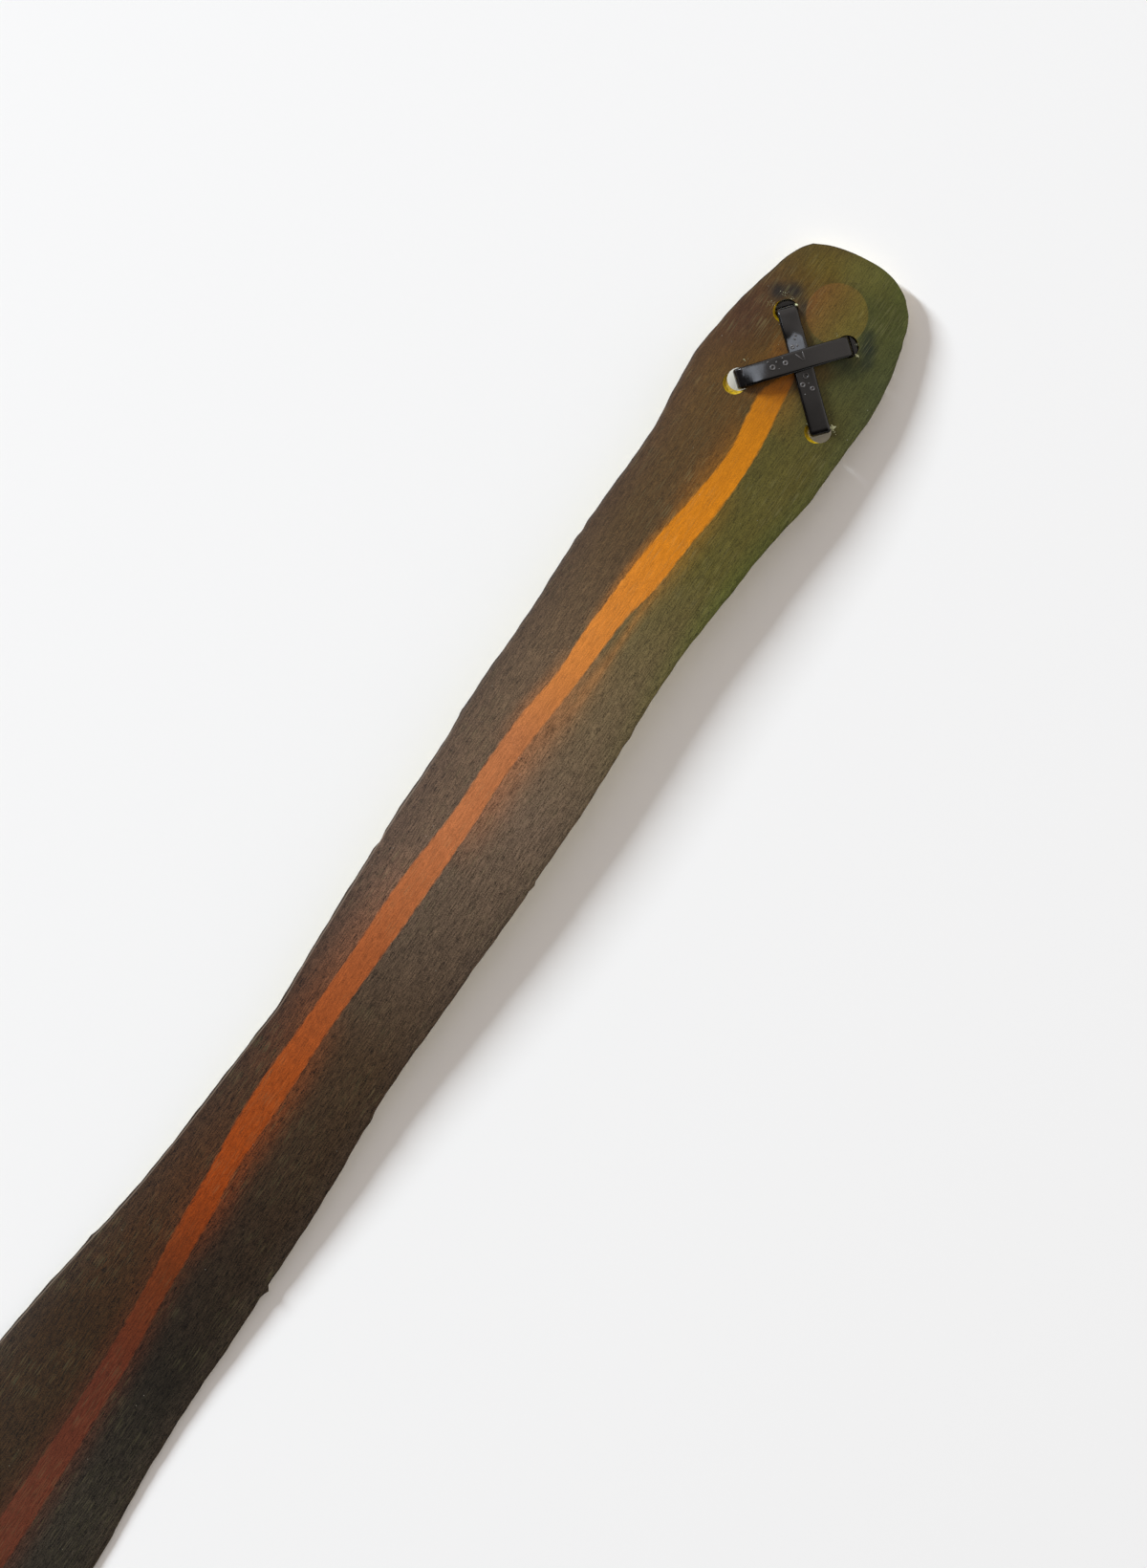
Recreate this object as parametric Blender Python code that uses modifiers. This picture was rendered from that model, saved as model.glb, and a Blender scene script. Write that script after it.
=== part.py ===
"""A lancewood leaf cut by hand from thin plastic sheet, with two cable ties crossed through its head end.

Everything is in metres, +Z up. The leaf lies face up along Y, its head end towards +Y, and bends up from
the surface in one long shallow arch. It rests on the heads of its ties and on the edges of its widest part.
The origin is on that surface, under the middle of the bounding box. Sizes are written in millimetres.
"""

import bmesh
import bpy
import numpy as np
from mathutils import Matrix, Vector

MM = 0.001

# The sheet: one thickness, with a round crown across it, as on stock cut from a wide tube.
SHEET = 0.75
CROWN_RADIUS = 150.0
LENGTH = 620.0
HEAD_Y = LENGTH / 2

# The outline. Stations are distances from the head end, each with the place of the edge to the left
# (negative) or right of the crown line. The left edge starts at the corner of the end cut.
LEFT_EDGE = [
    (3.9, -10.8), (5.6, -12.1), (8.5, -13.55), (12.5, -14.5), (20, -16.4), (28, -17.7), (37, -18.4),
    (46, -17.7), (57, -16.6), (68, -16.6), (82, -17.0), (99, -16.3), (125, -16.2), (143, -15.4),
    (157, -15.3), (177, -14.4), (192, -13.7), (206, -12.85), (211, -13.2), (240, -14.8), (258, -16.3),
    (272, -18.4), (298, -21.5), (340, -24.3), (388, -25.15), (430, -24.0), (480, -21.4), (530, -17.8),
    (570, -13.2), (600, -7.5), (LENGTH, -2.0),
]
RIGHT_EDGE = [
    (8.2, 16.6), (13, 18.1), (20, 19.8), (29, 20.7), (39, 20.5), (50, 20.1), (62, 18.5), (75, 17.4),
    (91, 16.5), (108, 16.5), (120, 17.3), (153, 17.9), (176, 17.6), (200, 17.2), (211, 17.3), (228, 18.8),
    (245, 19.4), (270, 20.0), (298, 20.5), (322, 22.6), (352, 24.5), (395, 25.15), (440, 24.0),
    (490, 21.2), (535, 17.4), (575, 12.2), (603, 6.3), (LENGTH, 2.2),
]
# The end cut itself, from that corner round to the right shoulder: places across, each with its station.
END_CUT = [
    (-10.8, 3.9), (-7.5, 2.2), (-3.0, 0.85), (1.0, 0.2), (4.5, 0.0), (8.0, 0.45), (11.0, 1.65),
    (13.8, 3.9), (15.3, 4.95), (16.1, 7.2), (16.6, 8.2),
]
CUT_FADE = 20.0  # the grid's rows are straight again from this station
# Height of the sheet's underside over the surface, along the crown line.
ARCH = [
    (0.0, 3.7), (17, 5.2), (32, 6.35), (58, 7.4), (90, 8.0), (120, 8.05), (155, 7.5), (205, 5.65),
    (250, 3.4), (285, 2.1), (315, 1.87), (345, 2.04), (388, 2.14), (440, 2.05), (490, 1.65), (535, 1.15),
    (575, 0.65), (LENGTH, 0.2),
]
COLUMNS, ROWS = 10, 84
ROW_GROWTH = 1.35  # rows lie closer together towards the head end
HOLE_RADIUS, HOLE_SIDES = 2.5, 28
DRILL_DEPTH = 6.0

# The cable ties, each a plain nylon tie. It leaves its head under the upper hole, runs along the
# back to the lower hole, comes up, crosses the face, and goes down the upper hole through its own head.
SHEET_GAP, TIE_GAP = 0.4, 0.3
STRAP_WIDTH, STRAP, STRAP_EDGE = 4.5, 1.0, 0.32
EDGE_ANGLE = np.radians(60)  # sharper corners than this have their edge broken
LEG_OUTSET = 0.3  # the strap stands this far out from the middle of its hole, away from the crossing
BEND, BEND_STEPS = 0.85, 4  # radius of the strap's middle line at its creases
HEAD_LENGTH, HEAD_WIDTH, HEAD_HEIGHT = 6.6, 7.4, 4.2
HEAD_ROUND, ROUND_STEPS = 0.4, 2
HEAD_FROM_SLOT = 0.9  # the catch makes the head longer on the strap's side of the slot
STRAP_DROP = 0.2  # the strap leaves its head this far under the inner face
ROOT_REACH = 5.0  # and has eased up to the sheet this far on
TAIL_RECESS = 0.1  # the tail is cut just inside the slot
RUN_STEPS = 16
UNDER_RISE, OVER_RISE = 0.15, 1.75  # how far each strap arches off the face where they cross
OVER_DIP, DIP_REACH = 2.0, 6.2  # the upper tie's dip under the other, at the back
# Holes as (station, place across), the upper one first.
UNDER_HOLES = [(18.95, -7.2), (36.45, 13.45)]
OVER_HOLES = [(18.05, 8.0), (37.1, -7.35)]
# Where a knife has opened a hole's mouth into a slant: how far it reaches across and along.
UPPER_UNDER_SLANT = (-0.3, -0.5)
LOWER_UNDER_SLANT = (-0.7, -0.6)
LOWER_OVER_SLANT = (-0.3, -1.2)
SLANT_RISE = 1.2


def through(stations, at):
    """A smooth curve through the stations, read at one distance or many."""
    x, y = np.array(stations, float).T
    slope = np.gradient(y, x)
    at = np.clip(at, x[0], x[-1])
    i = np.clip(np.searchsorted(x, at) - 1, 0, len(x) - 2)
    span = x[i + 1] - x[i]
    t = (at - x[i]) / span
    start = y[i] * (1 + 2 * t) * (1 - t) ** 2 + slope[i] * span * t * (1 - t) ** 2
    end = y[i + 1] * t**2 * (3 - 2 * t) - slope[i + 1] * span * t**2 * (1 - t)
    return start + end


def underside(x, station):
    """Height of the sheet's lower face."""
    return through(ARCH, station) - x**2 / (2 * CROWN_RADIUS)


def new_object(name, mesh, collection):
    thing = bpy.data.objects.new(name, mesh)
    collection.objects.link(thing)
    return thing


def material(name, colour, roughness):
    mat = bpy.data.materials.new(name)
    mat.use_nodes = True
    shader = mat.node_tree.nodes["Principled BSDF"]
    shader.inputs["Base Color"].default_value = (*colour, 1)
    shader.inputs["Roughness"].default_value = roughness
    shader.inputs["Metallic"].default_value = 0
    return mat


def boolean(target, tool, operation):
    cut = target.modifiers.new(tool.name, "BOOLEAN")
    cut.operation = operation
    cut.solver = "EXACT"
    cut.object = tool
    return cut


for old in list(bpy.data.objects):
    bpy.data.objects.remove(old, do_unlink=True)

leaf = bpy.data.collections.new("lancewood_leaf")
cutters = bpy.data.collections.new("cutters")
for collection in (leaf, cutters):
    bpy.context.scene.collection.children.link(collection)

painted_sheet = material("painted_sheet", (0.075, 0.042, 0.02), 0.45)
black_nylon = material("black_nylon", (0.012, 0.011, 0.011), 0.35)


def as_cutter(thing):
    thing.hide_render = True
    thing.display_type = "WIRE"
    return thing


# The blade: a flat grid drawn out to the outline, raised to the arch and crown, and thickened upwards.
bm = bmesh.new()
bmesh.ops.create_grid(bm, x_segments=COLUMNS, y_segments=ROWS, size=1)
first = RIGHT_EDGE[0][0]
for v in bm.verts:
    across = (v.co.x + 1) / 2
    station = first + (LENGTH - first) * ((1 - v.co.y) / 2) ** ROW_GROWTH
    fade = max(0.0, (CUT_FADE - station) / (CUT_FADE - first))
    left = through(LEFT_EDGE, station - (first - LEFT_EDGE[0][0]) * fade)
    right = through(RIGHT_EDGE, station)
    cut_place = END_CUT[0][0] + (END_CUT[-1][0] - END_CUT[0][0]) * across
    station -= (first - through(END_CUT, cut_place)) * fade
    x = left + (right - left) * across
    v.co = Vector((x, HEAD_Y - station, underside(x, station))) * MM
mesh = bpy.data.meshes.new("leaf_blade")
bm.to_mesh(mesh)
bm.free()
mesh.materials.append(painted_sheet)
blade = new_object("leaf_blade", mesh, leaf)
wall = blade.modifiers.new("sheet", "SOLIDIFY")
wall.thickness = SHEET * MM
wall.offset = 1


def place(hole):
    """A hole's middle as a point on the plan, in millimetres."""
    return Vector((hole[1], HEAD_Y - hole[0]))


def cone(name, low_radius, high_radius, height, middle):
    """A round cutter that stands on end."""
    bm = bmesh.new()
    bmesh.ops.create_cone(
        bm,
        cap_ends=True,
        segments=HOLE_SIDES,
        radius1=low_radius * MM,
        radius2=high_radius * MM,
        depth=height * MM,
    )
    mesh = bpy.data.meshes.new(name)
    bm.to_mesh(mesh)
    bm.free()
    made = as_cutter(new_object(name, mesh, cutters))
    made.location = middle * MM
    return made


def drill(name, hole, slant=None):
    """A drilled hole, and the slant that a knife has opened on one side of its mouth."""
    top = Vector((*place(hole), underside(hole[1], hole[0]) + SHEET))
    boolean(blade, cone(name, HOLE_RADIUS, HOLE_RADIUS, DRILL_DEPTH, top), "DIFFERENCE")
    if slant:
        flare = SLANT_RISE / 2
        mouth = top + Vector((*slant, 0))
        knife = cone(name + "_slant", HOLE_RADIUS - flare, HOLE_RADIUS + flare, SLANT_RISE, mouth)
        boolean(blade, knife, "DIFFERENCE")


drill("hole_upper_under", UNDER_HOLES[0], UPPER_UNDER_SLANT)
drill("hole_lower_under", UNDER_HOLES[1], LOWER_UNDER_SLANT)
drill("hole_upper_over", OVER_HOLES[0])
drill("hole_lower_over", OVER_HOLES[1], LOWER_OVER_SLANT)


def crossing():
    """Where the two straps cross on the plan."""
    a, b = (place(hole) for hole in UNDER_HOLES)
    c, d = (place(hole) for hole in OVER_HOLES)
    along, other = b - a, d - c
    return a + along * ((c - a).cross(other) / along.cross(other))


def creased(before, corner, after):
    """The corner turned into an arc of the crease's radius."""
    back, on = (before - corner).normalized(), (after - corner).normalized()
    half = back.angle(on) / 2
    middle = corner + (back + on).normalized() * BEND / np.sin(half)
    start = corner + back * BEND / np.tan(half) - middle
    end = corner + on * BEND / np.tan(half) - middle
    turn = start.angle(end)
    points = []
    for t in np.linspace(0, 1, BEND_STEPS + 1):
        points.append(middle + (start * np.sin((1 - t) * turn) + end * np.sin(t * turn)) / np.sin(turn))
    return points


def make_tie(name, holes, rise, dip):
    """One closed tie, as a ribbon along its middle line, with its head."""
    upper, lower = place(holes[0]), place(holes[1])
    span = (lower - upper).length
    along = (lower - upper) / span
    cross_at = (crossing() - upper).length
    slot_at, leg_at = -LEG_OUTSET, span + LEG_OUTSET
    head_at = slot_at + HEAD_FROM_SLOT

    def off_sheet(q, offset):
        """A point of the strap's middle line, this far over the underside of the sheet."""
        p = upper + along * q
        return Vector((q, underside(p.x, HEAD_Y - p.y) + offset))

    def run(start, end, offset):
        """Points along the sheet between two places, each with its distance from the other strap."""
        places = [start + (end - start) * k / RUN_STEPS for k in range(1, RUN_STEPS)]
        return [(off_sheet(q, offset), q - cross_at) for q in places]

    below = -(SHEET_GAP + STRAP / 2)
    above = SHEET + SHEET_GAP + STRAP / 2
    root_z = HEAD_HEIGHT - STRAP_DROP - STRAP / 2
    head_end = head_at + HEAD_LENGTH / 2
    path = [Vector((head_at + HEAD_LENGTH / 4, root_z)), Vector((head_end + SHEET_GAP, root_z))]
    for p, off in run(head_end, leg_at, below):
        eased = root_z + (p.y - root_z) * np.sin(min((p.x - head_end) / ROOT_REACH, 1) * np.pi / 2)
        share = min(abs(off) / DIP_REACH, 1)
        path.append(Vector((p.x, eased - dip * np.cos(share * np.pi / 2) ** 2)))
    top = []
    for p, off in run(leg_at, slot_at, above):
        reach = (leg_at if off > 0 else slot_at) - cross_at
        top.append(p + Vector((0, rise * np.cos(off / reach * np.pi / 2))))
    low, high = off_sheet(leg_at, below), off_sheet(leg_at, above)
    tail = Vector((slot_at, TAIL_RECESS))
    path += creased(path[-1], low, high) + creased(low, high, top[0]) + top
    path += [*creased(top[-1], off_sheet(slot_at, above), tail), tail]

    # The strap is a ribbon drawn out across its width and thickened both ways from its middle.
    side = Vector((along.y, -along.x, 0))
    bm = bmesh.new()
    row = []
    for p in path:
        row.append(bm.verts.new((Vector((*(upper + along * p.x), p.y)) - side * STRAP_WIDTH / 2) * MM))
    edges = [bm.edges.new(pair) for pair in zip(row, row[1:], strict=False)]
    drawn = bmesh.ops.extrude_edge_only(bm, edges=edges)["geom"]
    far = [v for v in drawn if isinstance(v, bmesh.types.BMVert)]
    bmesh.ops.translate(bm, verts=far, vec=side * STRAP_WIDTH * MM)
    mesh = bpy.data.meshes.new(name)
    bm.to_mesh(mesh)
    bm.free()
    mesh.materials.append(black_nylon)
    tie = new_object(name, mesh, leaf)
    thick = tie.modifiers.new("thickness", "SOLIDIFY")
    thick.thickness = STRAP * MM
    thick.offset = 0
    thick.use_even_offset = True
    edge = tie.modifiers.new("edge", "BEVEL")
    edge.width = STRAP_EDGE * MM
    edge.segments = 1
    edge.limit_method = "ANGLE"
    edge.angle_limit = EDGE_ANGLE

    # The head is a rounded block with a slot through it for the tail.
    turn = Matrix.Rotation(np.arctan2(along.y, along.x), 4, "Z")

    def block(label, q, size, low):
        bm = bmesh.new()
        bmesh.ops.create_cube(bm, size=1)
        bmesh.ops.scale(bm, verts=bm.verts, vec=Vector(size) * MM)
        mesh = bpy.data.meshes.new(label)
        bm.to_mesh(mesh)
        bm.free()
        made = as_cutter(new_object(label, mesh, cutters))
        middle = Vector((*(upper + along * q), low + size[2] / 2)) * MM
        made.matrix_world = Matrix.Translation(middle) @ turn
        return made

    head = block(name + "_head", head_at, (HEAD_LENGTH, HEAD_WIDTH, HEAD_HEIGHT), 0)
    rounding = head.modifiers.new("rounding", "BEVEL")
    rounding.width = HEAD_ROUND * MM
    rounding.segments = ROUND_STEPS
    slot_size = (STRAP + 2 * TIE_GAP, STRAP_WIDTH + 2 * TIE_GAP, 2 * HEAD_HEIGHT)
    slot = block(name + "_slot", slot_at, slot_size, -HEAD_HEIGHT / 2)
    boolean(head, slot, "DIFFERENCE")
    boolean(tie, head, "UNION")


make_tie("tie_under", UNDER_HOLES, UNDER_RISE, 0)
make_tie("tie_over", OVER_HOLES, OVER_RISE, OVER_DIP)
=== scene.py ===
"""Looks for the lancewood leaf: a strap leaf cut from painted sheet plastic, laced with two cable ties.

Everything is in metres in the part's own frame: the leaf lies face up along Y, its head end towards +Y.
Sizes are written in millimetres. A station is a distance from the head end, and a place across is a
distance to the right (or, negative, to the left) of the line along the top of the crown.
"""

import bmesh
import bpy
import numpy as np
from mathutils import Matrix, Vector


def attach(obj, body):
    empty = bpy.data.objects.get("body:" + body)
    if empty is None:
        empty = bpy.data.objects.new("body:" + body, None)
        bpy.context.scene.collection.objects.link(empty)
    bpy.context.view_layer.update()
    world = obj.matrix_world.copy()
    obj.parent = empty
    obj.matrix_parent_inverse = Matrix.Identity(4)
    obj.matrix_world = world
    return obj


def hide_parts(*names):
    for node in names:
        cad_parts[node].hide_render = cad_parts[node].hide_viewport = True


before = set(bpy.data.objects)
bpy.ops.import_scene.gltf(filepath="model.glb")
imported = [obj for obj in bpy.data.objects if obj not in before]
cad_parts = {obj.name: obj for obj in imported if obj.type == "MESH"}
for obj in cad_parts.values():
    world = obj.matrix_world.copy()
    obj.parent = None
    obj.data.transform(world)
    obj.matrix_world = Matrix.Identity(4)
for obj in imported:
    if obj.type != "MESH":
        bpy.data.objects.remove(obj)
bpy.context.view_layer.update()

# ------------------------------------------------------------------------------------------------ blade
# The blade is one strip of stiff 0.75 mm sheet, cut freehand with a knife and drilled for the ties. It has
# a slight round crown across, and it springs up from the table in a low arch along.
MM = 0.001
SHEET = 0.75
CROWN_RADIUS = 150.0
LENGTH = 620.0
HEAD_Y = LENGTH / 2
LEFT_EDGE = [
    (3.9, -10.8), (5.6, -12.1), (8.5, -13.55), (12.5, -14.5), (20, -16.4), (28, -17.7), (37, -18.4),
    (46, -17.7), (57, -16.6), (68, -16.6), (82, -17.0), (99, -16.3), (125, -16.2), (143, -15.4),
    (157, -15.3), (177, -14.4), (192, -13.7), (206, -12.85), (211, -13.2), (240, -14.8), (258, -16.3),
    (272, -18.4), (298, -21.5), (340, -24.3), (388, -25.15), (430, -24.0), (480, -21.4), (530, -17.8),
    (570, -13.2), (600, -7.5), (LENGTH, -2.0),
]
RIGHT_EDGE = [
    (8.2, 16.8), (13, 18.3), (20, 19.95), (29, 20.8), (39, 20.6), (50, 20.25), (62, 18.65), (75, 17.55),
    (91, 16.5), (108, 16.5), (120, 17.3), (153, 17.9), (176, 17.6), (200, 17.2), (211, 17.3), (228, 18.8),
    (245, 19.4), (270, 20.0), (298, 20.5), (322, 22.6), (352, 24.5), (395, 25.15), (440, 24.0),
    (490, 21.2), (535, 17.4), (575, 12.2), (603, 6.3), (LENGTH, 2.2),
]
END_CUT = [
    (-10.8, 3.75), (-7.5, 2.05), (-3.0, 0.7), (1.0, 0.05), (4.5, -0.2), (8.0, 0.25), (11.0, 1.45),
    (12.6, 2.4), (13.9, 3.75), (15.2, 5.05), (16.0, 6.4), (16.8, 8.2),
]
CUT_FADE = 20.0
ARCH = [
    (0.0, 3.7), (17, 5.2), (32, 6.35), (58, 7.4), (90, 8.0), (120, 8.05), (155, 7.5), (205, 5.65),
    (250, 3.4), (285, 2.1), (315, 1.87), (345, 2.04), (388, 2.14), (440, 2.05), (490, 1.65), (535, 1.15),
    (575, 0.65), (LENGTH, 0.2),
]
# Where the knife slipped: station, how far the edge stands out there, and half the length of the slip.
LEFT_SLIPS = [
    (83, -0.25, 2.0), (129.8, 0.25, 1.6), (162.7, -0.35, 2.2), (268.4, 0.35, 1.8), (437, 0.3, 2.0),
]
RIGHT_SLIPS = [
    (11.5, 0.15, 1.2), (114.2, 0.3, 2.5), (152.2, 0.45, 1.2), (213.6, 0.3, 2.5), (256.8, 0.9, 1.3),
]
WOBBLE = [(5.3, 0.035), (11.7, 0.05), (27.0, 0.07)]  # period and height of the hand's unsteadiness
COLUMNS, ROWS, ROW_GROWTH = 34, 620, 1.35
EDGE_BREAK = 0.13
HOLE_RADIUS, HOLE_SIDES = 2.5, 72
SLANT_RISE = 1.2
# Each hole's station and place across, and how far a knife has slanted its mouth across and along.
UNDER_HOLES = [(18.95, -7.2), (36.45, 13.45)]
OVER_HOLES = [(18.05, 8.0), (37.1, -7.35)]
SLANTS = [(-0.3, -0.5), (-0.7, -0.6), None, (-0.3, -1.2)]


def through(stations, at):
    """A smooth curve through the stations, read at one distance or many."""
    x, y = np.array(stations, float).T
    slope = np.gradient(y, x)
    at = np.clip(at, x[0], x[-1])
    i = np.clip(np.searchsorted(x, at) - 1, 0, len(x) - 2)
    span = x[i + 1] - x[i]
    t = (at - x[i]) / span
    start = y[i] * (1 + 2 * t) * (1 - t) ** 2 + slope[i] * span * t * (1 - t) ** 2
    end = y[i + 1] * t**2 * (3 - 2 * t) - slope[i + 1] * span * t**2 * (1 - t)
    return start + end


def underside(x, station):
    """Height of the sheet's lower face."""
    return through(ARCH, station) - x**2 / (2 * CROWN_RADIUS)


def knife(edge, slips, outward, at):
    """The cut edge with the hand's wobble and slips; outward is the sign of the side it is on."""
    stray = sum(height * np.sin(at / period * 2 * np.pi + period * outward) for period, height in WOBBLE)
    for station, height, half in slips:
        stray = stray + height * np.maximum(0, 1 - np.abs(at - station) / half)
    return through(edge, at) + outward * stray


def linked(name, bm, materials=()):
    """The finished bmesh as an object of the scene, smooth but for its real corners."""
    mesh = bpy.data.meshes.new(name)
    bm.to_mesh(mesh)
    bm.free()
    for mat in materials:
        mesh.materials.append(mat)
    mesh.shade_smooth()
    mesh.set_sharp_from_angle(angle=np.radians(32))
    made = bpy.data.objects.new(name, mesh)
    bpy.context.scene.collection.objects.link(made)
    return made


def place(hole):
    """A hole's middle as a point on the plan, in millimetres."""
    return Vector((hole[1], HEAD_Y - hole[0]))


# Cut flat: a grid drawn out to the outline, given its thickness, and its rim broken as a knife leaves it.
bm = bmesh.new()
bmesh.ops.create_grid(bm, x_segments=COLUMNS, y_segments=ROWS, size=1)
first = RIGHT_EDGE[0][0]
for v in bm.verts:
    across = (v.co.x + 1) / 2
    station = first + (LENGTH - first) * ((1 - v.co.y) / 2) ** ROW_GROWTH
    fade = max(0.0, (CUT_FADE - station) / (CUT_FADE - first))
    left = knife(LEFT_EDGE, LEFT_SLIPS, -1, station - (first - LEFT_EDGE[0][0]) * fade)
    right = knife(RIGHT_EDGE, RIGHT_SLIPS, 1, station)
    cut_place = END_CUT[0][0] + (END_CUT[-1][0] - END_CUT[0][0]) * across
    station -= (first - through(END_CUT, cut_place)) * fade
    v.co = Vector((left + (right - left) * across, HEAD_Y - station, 0)) * MM
raised = bmesh.ops.extrude_face_region(bm, geom=bm.faces[:], use_keep_orig=True)["geom"]
top = [v for v in raised if isinstance(v, bmesh.types.BMVert)]
bmesh.ops.translate(bm, verts=top, vec=(0, 0, SHEET * MM))
bmesh.ops.recalc_face_normals(bm, faces=bm.faces)
rims = [e for e in bm.edges if e.calc_face_angle(0) > np.radians(60)]
bmesh.ops.bevel(
    bm,
    geom=rims,
    offset=EDGE_BREAK * MM,
    affect="EDGES",
    segments=2,
    profile=0.5,
    material=-1,
)
flat = linked("flat", bm)

# Drilled flat too: four holes, three of them with their mouths slanted by a knife.
bm = bmesh.new()
for hole, slant in zip(UNDER_HOLES + OVER_HOLES, SLANTS, strict=True):
    mouth = Vector((*place(hole), SHEET)) * MM
    bmesh.ops.create_cone(
        bm,
        cap_ends=True,
        segments=HOLE_SIDES,
        radius1=HOLE_RADIUS * MM,
        radius2=HOLE_RADIUS * MM,
        depth=4 * SHEET * MM,
        matrix=Matrix.Translation(mouth),
    )
    if slant:
        bmesh.ops.create_cone(
            bm,
            cap_ends=True,
            segments=HOLE_SIDES,
            radius1=(HOLE_RADIUS - SLANT_RISE / 2) * MM,
            radius2=(HOLE_RADIUS + SLANT_RISE / 2) * MM,
            depth=SLANT_RISE * MM,
            matrix=Matrix.Translation(mouth + Vector((*slant, 0)) * MM),
        )
drills = linked("drills", bm)
cut = flat.modifiers.new("drills", "BOOLEAN")
cut.operation = "DIFFERENCE"
cut.solver = "EXACT"
cut.use_self = True
cut.object = drills
cut.material_mode = "TRANSFER"

# The painter's stripe: station, then the places across of its left and right edges.
STRIPE = [
    (27, 0.6, 2.0), (31, -0.1, 2.8), (37, -2.1, 3.6), (43, -1.5, 4.6), (50, -0.4, 5.3), (62, -1.1, 5.3),
    (74, -2.6, 4.3), (86, -3.6, 3.4), (93, -3.8, 2.0), (100, -4.2, 1.6), (111, -3.9, 1.1),
    (123, -5.2, 0.3), (136, -5.6, -0.3), (148, -5.4, 0.0), (167, -6.5, 0.1), (186, -6.3, -0.3),
    (204, -6.4, -0.6), (223, -6.7, -0.1), (235, -5.9, -0.2), (241, -5.2, 0.0), (248, -4.6, 1.0),
    (260, -3.6, 2.0), (272, -2.1, 2.9), (284, -1.1, 4.2), (303, 0.0, 5.5), (328, 0.1, 6.7),
    (400, 0.4, 6.6), (500, 0.3, 4.2), (596, 0.2, 1.2),
]
STRIPE_START = 27
# Overspray beside the stripe: its side, the stations it lies between, its reach and its strength.
OVERSPRAY = [
    (1, 100, 160, 4.2, 0.42),
    (1, 55, 95, 2.6, 0.16),
    (-1, 42, 70, 2.8, 0.22),
    (-1, 58, 102, 0.9, 0.35),
    (-1, 104, 132, 1.5, 0.3),
    (-1, 158, 222, 4.6, 0.2),
    (1, 196, 262, 3.2, 0.36),
    (1, 22, 44, 4.5, 0.2),
    (-1, 22, 40, 4.0, 0.3),
    (1, 232, 400, 2.4, 0.34),
    (-1, 232, 400, 2.2, 0.3),
]
# A thin straight second pass: the stations it lies between, its place across, reach and strength.
SECOND_PASS = (76, 122, 3.7, 0.9, 0.24)


def stripe_depth(x, station):
    """How far inside the stripe a point lies, in millimetres; negative outside it."""
    left = through([(s, a) for s, a, _ in STRIPE], station)
    right = through([(s, b) for s, _, b in STRIPE], station)
    return np.minimum(np.minimum(x - left, right - x), station - STRIPE_START)


def overspray(x, station):
    """Strength of the orange mist that the stripe's paint left beside it."""
    middle = through([(s, (a + b) / 2) for s, a, b in STRIPE], station)
    outside = np.maximum(0, -stripe_depth(x, station))
    start, end, across, reach, strength = SECOND_PASS
    window = np.sin(np.clip((station - start) / (end - start), 0, 1) * np.pi)
    mist = strength * window * np.exp(-(((x - across) / reach) ** 2))
    for side, start, end, reach, strength in OVERSPRAY:
        window = np.sin(np.clip((station - start) / (end - start), 0, 1) * np.pi)
        faded = strength * window * np.exp(-((outside / reach) ** 2))
        mist += np.where((x - middle) * side > 0, faded, 0)
    return mist


def rim_distance(x, station):
    """Distance in from the outline, in millimetres."""
    sides = np.minimum(x - through(LEFT_EDGE, station), through(RIGHT_EDGE, station) - x)
    return np.maximum(0, np.minimum(sides, station - through(END_CUT, x)))


def right_share(x, station):
    """0 left of the stripe, 1 right of it, blended beneath it: the two sides are painted differently."""
    middle = through([(s, (a + b) / 2) for s, a, b in STRIPE], np.maximum(station, 40))
    return np.clip(0.5 + (x - middle) / 9, 0, 1)


def add(tree, kind, inputs=None, stops=None, **settings):
    """A node with its settings; an input takes a value or another node's output, a ramp its stops."""
    node = tree.nodes.new("ShaderNode" + kind)
    for name, value in settings.items():
        setattr(node, name, value)
    for name, value in (inputs or {}).items():
        if isinstance(value, bpy.types.NodeSocket):
            tree.links.new(value, node.inputs[name])
        else:
            node.inputs[name].default_value = value
    for k, (position, colour) in enumerate(stops or []):
        ramp = node.color_ramp.elements
        stop = ramp[k] if k < 2 else ramp.new(position)
        stop.position = position
        stop.color = colour
    return node


def srgb(code):
    """A hex colour as linear light."""
    parts = [int(code[i : i + 2], 16) / 255 for i in (0, 2, 4)]
    return (*[p / 12.92 if p <= 0.04045 else ((p + 0.055) / 1.055) ** 2.4 for p in parts], 1)


def new_material(name):
    """An empty material, its node tree and its output node."""
    mat = bpy.data.materials.new(name)
    mat.use_nodes = True
    mat.node_tree.nodes.clear()
    return mat, mat.node_tree, add(mat.node_tree, "OutputMaterial")


BAND_WIDTH, BAND_LENGTH = 3.2, 80.0  # the broad lighter and darker bands that rubbing leaves


def brushed(tree, width, length, detail):
    """Noise drawn out along the leaf: marks of about this width and length, in millimetres."""
    coords = add(tree, "TexCoord").outputs["Object"]
    scale = (1 / (width * MM), 1 / (length * MM), 0)
    drawn = add(tree, "Mapping", {"Vector": coords, "Scale": scale}).outputs[0]
    return add(tree, "TexNoise", {"Vector": drawn, "Scale": 1, "Detail": detail}).outputs[0]


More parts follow.
